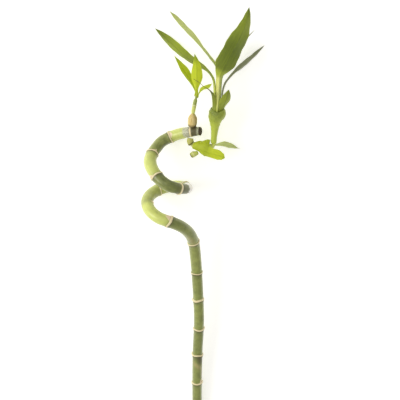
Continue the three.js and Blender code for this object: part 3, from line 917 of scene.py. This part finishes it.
def sleeve(name, line, rows, wall, rim, number, sides=44, steps=40, wrapped=0.0):
    """An open tube with a wall. Rows are (share, outer radius), rim(angle) is how far up a share of
    1 reaches on that side, and number(angle, share) says how dark it is. Wrapped is how far in mm
    its two long edges lie over each other; with 0 they are merged."""

    def point(across, up):
        angle = across * tau
        if wrapped:
            angle = angle * OVERLAP_TURNS + SEAM_ANGLE
        share = up * mix(1, rim(angle), ease(up, 0.4, 1))
        radius = along(rows, up) + wrapped * (across - 0.5)
        radius *= 1 + SLEEVE_UNEVEN * uneven(angle, up * 4, 2)
        return *line.beside(share, angle, radius), number(angle, up)

    piece = grid(name, sides, steps, point, ("dark",))
    weld(piece, fill=False)
    modify(piece, "SOLIDIFY", thickness=wall, offset=-1)
    return piece


def foot_of(line, share, steps=6):
    """The first part of a line."""
    return Line([line.at(share * step / steps) for step in range(steps + 1)])


SCALE_SHARE = 0.36  # how much of the upper shoot the scale covers
upper_bud_scale = sleeve(
    "upper_bud_scale",
    foot_of(upper_line, SCALE_SHARE),
    [(0, 4.4), (0.25, 5.0), (0.6, 5.0), (0.8, 4.4), (0.92, 3.5), (1, 2.6)],
    wall=0.7,
    rim=lambda angle: 0.93 + 0.07 * cos(2 * angle + 0.6),
    # darker at its withered foot, and on its right side painted shade, away from the light on the
    # left
    number=lambda angle, up: min(
        1, 0.8 * (1 - ease(up, 0.0, 0.25)) + 0.45 * ease(sin(angle), 0.0, 1)
    ),
    wrapped=0.9,
)
lay_down(upper_bud_scale, "papery_scale", dry_scale)

# %% The collar
COLLAR_SHARE = 0.062  # how much of the lower shoot the collar covers
lower_collar = sleeve(
    "lower_collar",
    foot_of(lower_line, COLLAR_SHARE),
    [(0, 3.4), (0.5, 3.9), (0.8, 3.9), (1, 3.5)],
    wall=0.8,
    rim=lambda angle: 1 + 0.08 * sin(2 * angle),
    number=lambda angle, up: 0.1 + 0.8 * window(up, 0.82, 0.9, 0.12),
)
lay_down(lower_collar, "papery_scale", green_scale)

# %% [markdown]
# ## Leaf blades
# A leaf of this plant is long and pointed, with many fine veins side by side and a shallow fold at
# its midrib. Fresh leaves are thin: light comes through them, brighter and yellower than the light
# that they send back. So the shader mixes a glossy surface with a translucent one. Both read the
# same pattern: veins from the distance across the blade, streaks along it, a pale edge, and a tone
# that says how deep the green is at each place.

# %% Leaf blade materials
VEIN = 1.3  # mm between veins, wider than the real ones so that they show
LEAF_NUMBERS = ("tone", "dry", "edge")


def leaf_material(name, light, deep, vein, through, lets_through):
    """Light and deep are the two ends of its green, vein is the colour of its veins, through the
    colour of light that has passed it, and lets_through how much passes."""
    material, tree, grown, tone, dry, edge = start_material(name, *LEAF_NUMBERS)
    across = node(tree, "SeparateXYZ", {"Vector": grown}, output="X")
    streaks = stretched_noise(tree, grown, (0.7, 0.05, 1.0))
    green = coat(tree, light, deep, vary(tree, tone, streaks, 0.5))
    green = coat(tree, green, "#fffd98", tone, 0.0, -1.0)  # creamy where it never turned green
    turns = node(tree, "Math", {0: across, 1: tau / VEIN}, operation="MULTIPLY")
    veins = node(tree, "Math", {0: turns}, operation="COSINE")
    green = coat(tree, green, vein, veins, 0.2, 1.0, 0.2)
    off_rib = node(tree, "Math", {0: across}, operation="ABSOLUTE")
    green = coat(tree, green, deep, off_rib, 0.7, 0.25, 0.35)
    green = coat(tree, green, light, edge, 0.88, 1.0, 0.5)
    blade = coat(tree, green, "#6f5c2c", dry)
    glow = node(tree, "Mix", {0: 0.55, 6: blade, 7: through}, data_type="RGBA")
    relief = node(tree, "Bump", {"Height": veins, "Strength": 0.35, "Distance": 0.08 * MM})
    gloss = node(tree, "MapRange", {"Value": streaks, "To Min": 0.34, "To Max": 0.5})
    waxy = {"Base Color": blade, "Roughness": gloss, "Specular IOR Level": 0.6, "Normal": relief}
    passing = node(tree, "BsdfTranslucent", {"Color": glow, "Normal": relief})
    thin = {"Value": tone, "From Min": 0.0, "From Max": -1.0, "To Min": lets_through, "To Max": 0.05}
    shaders = {0: node(tree, "MapRange", thin), 1: node(tree, "BsdfPrincipled", waxy), 2: passing}
    finish_material(material, node(tree, "MixShader", shaders))
    return material


# Fresh leaves are thin and lime; grown ones are thicker, deeper in colour and waxier.
fresh_leaf = leaf_material("fresh_lime_leaf", "#e6ee40", "#a0b42c", "#d6de58", "#eaf22c", 0.45)
grown_leaf = leaf_material("grown_green_leaf", "#d2de52", "#64761c", "#98a63e", "#c4d42a", 0.36)
pale_leaf = leaf_material("thin_pale_leaf", "#e8eeaa", "#a2ae6c", "#f0f4c4", "#e6ec90", 0.45)
grey_leaf = leaf_material("grown_leaf_underside", "#c8cc98", "#7e855e", "#a9ae84", "#bcc07c", 0.3)

# %% [markdown]
# ## The shape of a leaf
# A leaf is a grid bent along its midrib and curled round it. At each place we need half its width,
# how tightly it is curled, and which way its upper face looks. Its edges ripple a little, and the
# midrib lies in a shallow fold. Solidify then gives it a thickness, less towards the edge and the
# point, which a vertex group says.

# %% A leaf from its midrib
LEAF_THICK = 0.9  # mm, at the foot
BLADE_SHARE, EDGE_SHARE = 0.42, 0.16  # how thick the blade and its edge are against the foot
THINS = (0.15, 0.45)  # shares of the midrib between which the foot thins to the blade
FOLD_DEEP, FOLD_WIDE = 0.35, 1.1  # mm
FOLDED = (1.5, 4)  # mm of half width: narrower has no fold, and wider has all of it
LONG_WAVE, SHORT_WAVE = 31, 13  # mm from crest to crest
RIPPLED = (0.45, 0.9, 0.15)  # shares of the midrib: from, to, and how softly it starts and stops
KEEL_ENDS, SHADE_ENDS = (0.24, 0.4), (0.26, 0.4)  # shares of the midrib


def leaf(
    name, midrib, shape, tones, dried=((0, 0),), ripple=0.0, columns=20, rows=90, thick=1.0,
    shade=0.0, keel=0.0,
):
    """Shape(share) gives half the width, the radius it is curled to and the way it faces. Tones and
    dried are rows of (share, value), ripple is how far its edges wave, in mm, and shade is painted
    shade: how much deeper in tone its right half is where it clasps the stem. There its midrib can
    stand out as a keel, so many mm high."""
    line = Line(midrib)

    def point(across, up):
        side = across * 2 - 1
        half, curl, face = shape(up)
        way = line.way(up)
        face = (face - way * face.dot(way)).normalized()
        angle = side * half / curl
        real = line.at(up) + way.cross(face) * curl * sin(angle)
        real += face * curl * (1 - cos(angle))
        place = up * line.length
        fold = exp(-((side * half / FOLD_WIDE) ** 2)) * ease(half, *FOLDED)
        wave = sin(place * tau / LONG_WAVE + 2 * copysign(1, side)) * side**2
        wave += 0.5 * sin(place * tau / SHORT_WAVE + 5 * side) * side**4
        real -= face * keel * (1 - abs(side)) ** 1.3 * (1 - ease(up, *KEEL_ENDS))
        real += face * (ripple * wave * window(up, *RIPPLED) - FOLD_DEEP * fold)
        tone = along(tones, up) + shade * ease(-side, -0.1, 0.5) * (1 - ease(up, *SHADE_ENDS))
        return Vector((side * half, place, 0)), real, tone, along(dried, up), abs(side)

    piece = grid(name, columns, rows, point, LEAF_NUMBERS)
    thickness = piece.vertex_groups.new(name="thickness")
    sides = [value.value for value in piece.data.attributes["edge"].data]
    ups = [value.vector.y / line.length for value in piece.data.attributes["grown"].data]
    for index, (side, up) in enumerate(zip(sides, ups)):
        middle = mix(1, BLADE_SHARE, ease(up, *THINS))
        thickness.add([index], mix(middle, EDGE_SHARE, max(side**4, up**4)), "REPLACE")
    modify(piece, "SOLIDIFY", thickness=LEAF_THICK * thick, offset=0, vertex_group="thickness")
    piece.vertex_groups.clear()
    return piece

# %% [markdown]
# An ordinary leaf clasps its stem at first and then opens into a blade. Its outline is given by the
# shares of its midrib at which it starts to open, is fully open and starts to narrow.

# %% An ordinary leaf
TURNED = 0.8  # the share of its midrib by which a blade faces its own way
POINT_HALF_WIDTH = 0.16  # mm
OUTLINE_KEYS = {"neck", "narrows", "cup", "taper", "point"}  # these are for its blade's outline


def axis_at(points, height):
    """Where a shoot's line is at a height."""
    for (ax, ay, az), (bx, by, bz) in zip(points, points[1:]):
        if bz >= height:
            share = (height - az) / (bz - az)
            return Vector((mix(ax, bx, share), mix(ay, by, share), height))


def blade_shape(
    foot, faces, radius, clasp, width, widest,
    neck=0.15, narrows=None, cup=25, taper=1, point=POINT_HALF_WIDTH,
):
    """Foot and faces are the ways that its foot and its blade face. Half its width is clasp at its
    foot, where it is curled to a radius, and the blade is cupped by so many degrees."""
    narrows = widest if narrows is None else narrows

    def shape(share):
        narrowed = max(0, (share - narrows) / (1 - narrows))
        opened = mix(clasp, width / 2, ease(share, neck, widest))
        half = max(opened * max(0, cos(pi / 2 * narrowed)) ** taper, point)
        sweep = mix(clasp / radius, radians(cup), ease(share, neck / 2, widest))
        return half, half / sweep, foot.lerp(faces, ease(share, 0, TURNED))

    return shape


def clasping_leaf(name, shoot, side, start, end, blade, faces, width, widest, tones, **more):
    """Side is where it clasps its shoot: degrees from the front towards the right, the distance
    from the middle, and half its width there. More is for blade_shape or for leaf."""
    azimuth, radius, clasp = side
    angle = radians(azimuth)
    outwards = Vector((sin(angle), -cos(angle), 0))
    clasped = [axis_at(shoot, h) + outwards * radius for h in (start, (start + end) / 2, end)]
    outline = {key: more.pop(key) for key in OUTLINE_KEYS & more.keys()}
    shape = blade_shape(-outwards, Vector(faces), radius, clasp, width, widest, **outline)
    return leaf(name, clasped + [Vector(point) for point in blade], shape, tones, **more)

# %% Leaves of the upper shoot
upper_leaves = [
    clasping_leaf(
        "upper_leaf_left", UPPER_POINTS, (-112, 2.1, 1.4), 422.5, 427.5,
        [(-4.6, 13, 434), (-11, 14.5, 446), (-18.2, 17, 457), (-25.4, 20.5, 466.8)],
        faces=(0.5, -0.6, 0.6), width=11.6, widest=0.5,
        tones=[(0, 0.2), (0.4, 0.5), (0.7, 0.4), (1, 0.6)], ripple=0.35,
    ),
    clasping_leaf(
        "upper_leaf_front", UPPER_POINTS, (0, 2.1, 1.4), 423, 427,
        [(0, 8.6, 429), (-0.2, 5, 436), (0, 0.5, 449.6), (-0.4, -2.5, 462.5), (-2.5, -4, 474)],
        faces=(0, 0.95, 0.3), width=13, widest=0.48, neck=0.12,
        tones=[(0, 0.2), (0.4, 0.0), (0.75, 0.15), (0.9, 0.8), (1, 1)], ripple=0.5, columns=26,
    ),
    clasping_leaf(
        "upper_leaf_right", UPPER_POINTS, (120, 2.1, 1.4), 420.5, 424,
        [(5.6, 19, 427.6), (10.7, 26, 428.7), (17, 33, 431.8)],
        faces=(-0.2, -0.5, 0.8), width=8.8, widest=0.55,
        tones=[(0, 0.3), (0.5, 0.1), (1, 0.3)], ripple=0.3,
    ),
]
for piece in upper_leaves:
    lay_down(piece, "young_leaf", fresh_leaf)

# %% Leaves of the crown
crown_leaves = [
    clasping_leaf(
        "crown_broad_leaf", LOWER_COLUMN, (4, 3.9, 3.9), 404, 444,
        [(26.5, 5, 450), (31, 3, 459.5), (39.5, 0, 477), (47.6, -4, 494.5), (53.2, -7, 510.5),
         (55.5, -8, 525)],
        faces=(-0.35, 0.85, 0.3), width=24.4, neck=0.3, widest=0.47, narrows=0.63, cup=22,
        # deep olive in the middle of its blade: painted shade where the blade faces down, away from
        # the light
        tones=[(0, -0.2), (0.08, -0.7), (0.2, -1), (0.3, -0.8), (0.36, 0), (0.42, 0.75), (0.6, 0.85),
               (0.85, 0.5), (1, 0.8)],
        ripple=0.7, columns=36, rows=130, shade=1.2, keel=2.4,
    ),
    clasping_leaf(
        "crown_thin_leaf", LOWER_COLUMN, (-140, 3.4, 2), 405, 442,
        [(21.5, 16, 454.5), (13.9, 19, 465.5), (5.5, 22, 475.2), (-5.6, 24, 487.9),
         (-17.9, 26, 500.1), (-30.1, 28, 514.6)],
        faces=(0.65, -0.35, 0.65), width=12.4, neck=0.45, widest=0.84, cup=30,
        tones=[(0, 0.1), (0.5, 0.3), (0.65, 0.0), (0.9, 0.1), (1, 0.4)], ripple=0.35, rows=110,
    ),
    clasping_leaf(
        "crown_back_leaf", LOWER_COLUMN, (146, 3.4, 1.8), 405, 436,
        [(28.5, 18, 447), (39, 23, 467), (53.4, 28, 482.5), (63.9, 31.5, 492.9)],
        faces=(-0.5, -0.5, 0.7), width=8, neck=0.3, widest=0.6,
        tones=[(0, 0.5), (0.5, 0.7), (1, 0.7)], ripple=0.35,
    ),
    clasping_leaf(
        "crown_long_leaf", LOWER_COLUMN, (-85, 5, 4), 402, 431,
        [(17.6, 13, 441.5), (13.2, 16.5, 447.8), (5.9, 20, 452.7), (-3, 24, 457.8),
         (-14.2, 29, 464.9), (-30.7, 37.5, 478.4), (-47, 44.78, 492.2)],
        faces=(0.45, -0.55, 0.7), width=14.8, neck=0.3, widest=0.6, narrows=0.78,
        tones=[(0, -0.3), (0.22, -0.3), (0.36, 0.4), (0.55, 0.5), (0.75, 0.2), (1, 0.7)],
        ripple=0.3, columns=28, rows=120,
    ),
    clasping_leaf(
        "crown_whisker_leaf", LOWER_COLUMN, (-44, 6, 2.8), 403, 412,
        [(18.4, 6.3, 420), (17, 3.5, 427), (12.7, -3, 434), (7.8, -7, 438), (3.4, -10, 443),
         (-3.6, -13, 448.3)],
        faces=(0.4, 0.5, 0.7), width=6, neck=0.1, widest=0.25, cup=30, taper=3, point=0.42,
        tones=[(0, 0.15), (0.3, 0.45), (0.5, 1), (1, 1)], dried=[(0, 0), (0.45, 0.2), (0.6, 1)],
        columns=12,
    ),
    clasping_leaf(
        "crown_right_leaf", LOWER_COLUMN, (93, 5, 3.2), 402, 419,
        [(29, 14.2, 427), (32, 16.5, 436), (40.4, 21, 445.6), (52, 27, 454.5),
         (64.3, 35, 463.2), (76, 43.3, 473.2)],
        faces=(-0.45, 0.75, 0.5), width=10, neck=0.4, widest=0.72,
        tones=[(0, 0.5), (0.3, 0.6), (0.6, 0.65), (1, 0.9)], ripple=0.35, rows=110,
    ),
    clasping_leaf(
        "crown_small_leaf", LOWER_COLUMN, (55, 6.1, 3), 399, 406,
        [(29.2, 8, 411.5), (31.6, 6, 417.5), (33.6, 4, 425), (35.2, 2, 432.8)],
        faces=(-0.4, 0.9, 0.2), width=15, widest=0.5, cup=30,
        tones=[(0, 0.4), (0.5, 0.2), (1, 0.6)], ripple=0.35, columns=26,
    ),
]
OWN_LOOKS = {  # two show their greyer underside, and one is younger and paler
    "crown_right_leaf": grey_leaf, "crown_back_leaf": grey_leaf, "crown_thin_leaf": pale_leaf,
}
for piece in crown_leaves:
    lay_down(piece, "grown_leaf", OWN_LOOKS.get(piece.name.removeprefix(FINE), grown_leaf))

# %% [markdown]
# ## The two leaves at the lower shoot's foot
# The side leaf is an ordinary blade. The foot leaf is one thin lime leaf that wraps the level part
# of the stem as a funnel, open at the back, and then runs on as a short rounded blade. Its funnel
# is much wider than it is curled, so it nearly closes behind the stem.

# %% Where the foot leaf has grown round the stem
for face in lower_stem.data.polygons:
    corner = lower_stem.data.attributes["grown"].data[face.vertices[0]].vector
    face.material_index = int(WRAPPED[0] < corner.z < WRAPPED[1])
lay_down(lower_stem, "shoot_stem", young_stem, fresh_leaf)

# %% The foot leaves
foot_side_leaf = leaf(
    "foot_side_leaf",
    [(20.8, 12.6, 365.2), (28.6, 18, 363.4), (38, 23.5, 360.3), (49.5, 28.5, 355.8)],
    blade_shape(Vector((0, -0.35, 1)), Vector((0, -0.35, 1)), 3, 1.8, width=13, widest=0.5, neck=0),
    tones=[(0, 0.1), (0.5, 0.35), (1, 0.6)],
    ripple=0.4,
    columns=24,
)
lay_down(foot_side_leaf, "pale_leaf", pale_leaf)

FOOT_MIDRIB = [
    (-5.2, 8.5, 364.1), (1, 6.6, 362.9), (7.2, 4.2, 361), (13.5, 3, 358.9), (21.5, 1.5, 357.2),
    (27, 0.6, 355.6), (31.3, 0, 353.9),
]
FOOT_HALF_WIDTHS = [
    (0, 8), (0.16, 14.5), (0.3, 24), (0.36, 25.4), (0.39, 24.5), (0.46, 7), (0.62, 6.4), (0.78, 6.4),
    (0.92, 4.4), (1, 1.0),
]
FOOT_CURLS = [(0, 3.8), (0.16, 5.9), (0.3, 9.2), (0.36, 9.6), (0.48, 10.5), (0.65, 14), (1, 16)]
FUNNEL_FACES = Vector((-0.1, 1, 0.36))
FOOT_BLADE_FACES = Vector((-0.15, 1, 0.1))


foot_leaf = leaf(
    "foot_leaf",
    FOOT_MIDRIB,
    lambda share: (
        along(FOOT_HALF_WIDTHS, share),
        along(FOOT_CURLS, share),
        FUNNEL_FACES.lerp(FOOT_BLADE_FACES, share),
    ),
    tones=[(0, 0.1), (0.3, 0.3), (0.42, 0.45), (0.5, 0.3), (0.6, 0.1), (0.9, 0.2), (1, 0.7)],
    columns=60,
    rows=90,
    thick=0.7,
)
lay_down(foot_leaf, "young_leaf", fresh_leaf)

# %% [markdown]
# ## The goblet
# The crown rises from a goblet: the wide foot of an old leaf that still wraps the stem. It hugs the
# stem and swells, and its rim is drawn in, darker, and a little lower at the front. It is a sleeve
# with veins that run up it.

# %% Leaf sheath
# Thick, waxy leaf: a soft shine on ribbed green that deepens towards the rim.
sheath_skin, tree, grown, dark = start_material("leaf_sheath_skin", "dark")
ribs = stretched_noise(tree, grown, (1.1, 1.1, 0.05))
green = coat(tree, "#c2d04a", "#5a6826", vary(tree, dark, ribs, 0.7))
finish = {"Roughness": 0.4, "Coat Weight": 0.08}
finish_material(sheath_skin, surface(tree, green, ribs, 0.4, 0.2, finish))

# %% The goblet's mesh
CUP_POINTS = [
    (18.9, 12, 368), (19.3, 12, 375), (20, 12, 384), (20.4, 12, 390.5), (21.1, 12, 397.5),
    (22.9, 12, 403.5), (23.2, 12, 408.5),
]
CUP_ROWS = [
    (0, 3.3), (0.15, 3.4), (0.3, 3.8), (0.44, 4.6), (0.56, 5.9), (0.65, 7.2), (0.74, 8.8),
    (0.88, 9.9), (0.95, 9), (1, 7.8),
]
CUP_RIM_DIP = 0.06  # how far the rim dips at the front, as a share of the line
cup_sheath = sleeve(
    "cup_sheath",
    Line(CUP_POINTS),
    CUP_ROWS,
    wall=0.75,
    rim=lambda angle: 1 - CUP_RIM_DIP * max(0, cos(angle)) ** 4,
    # lighter on its right side: painted light
    number=lambda angle, up: mix(-0.3, 0.7, ease(up, 0.25, 1)) - 0.35 * max(0, sin(angle)),
    sides=56,
    steps=70,
)
lay_down(cup_sheath, "leaf_sheath", sheath_skin)
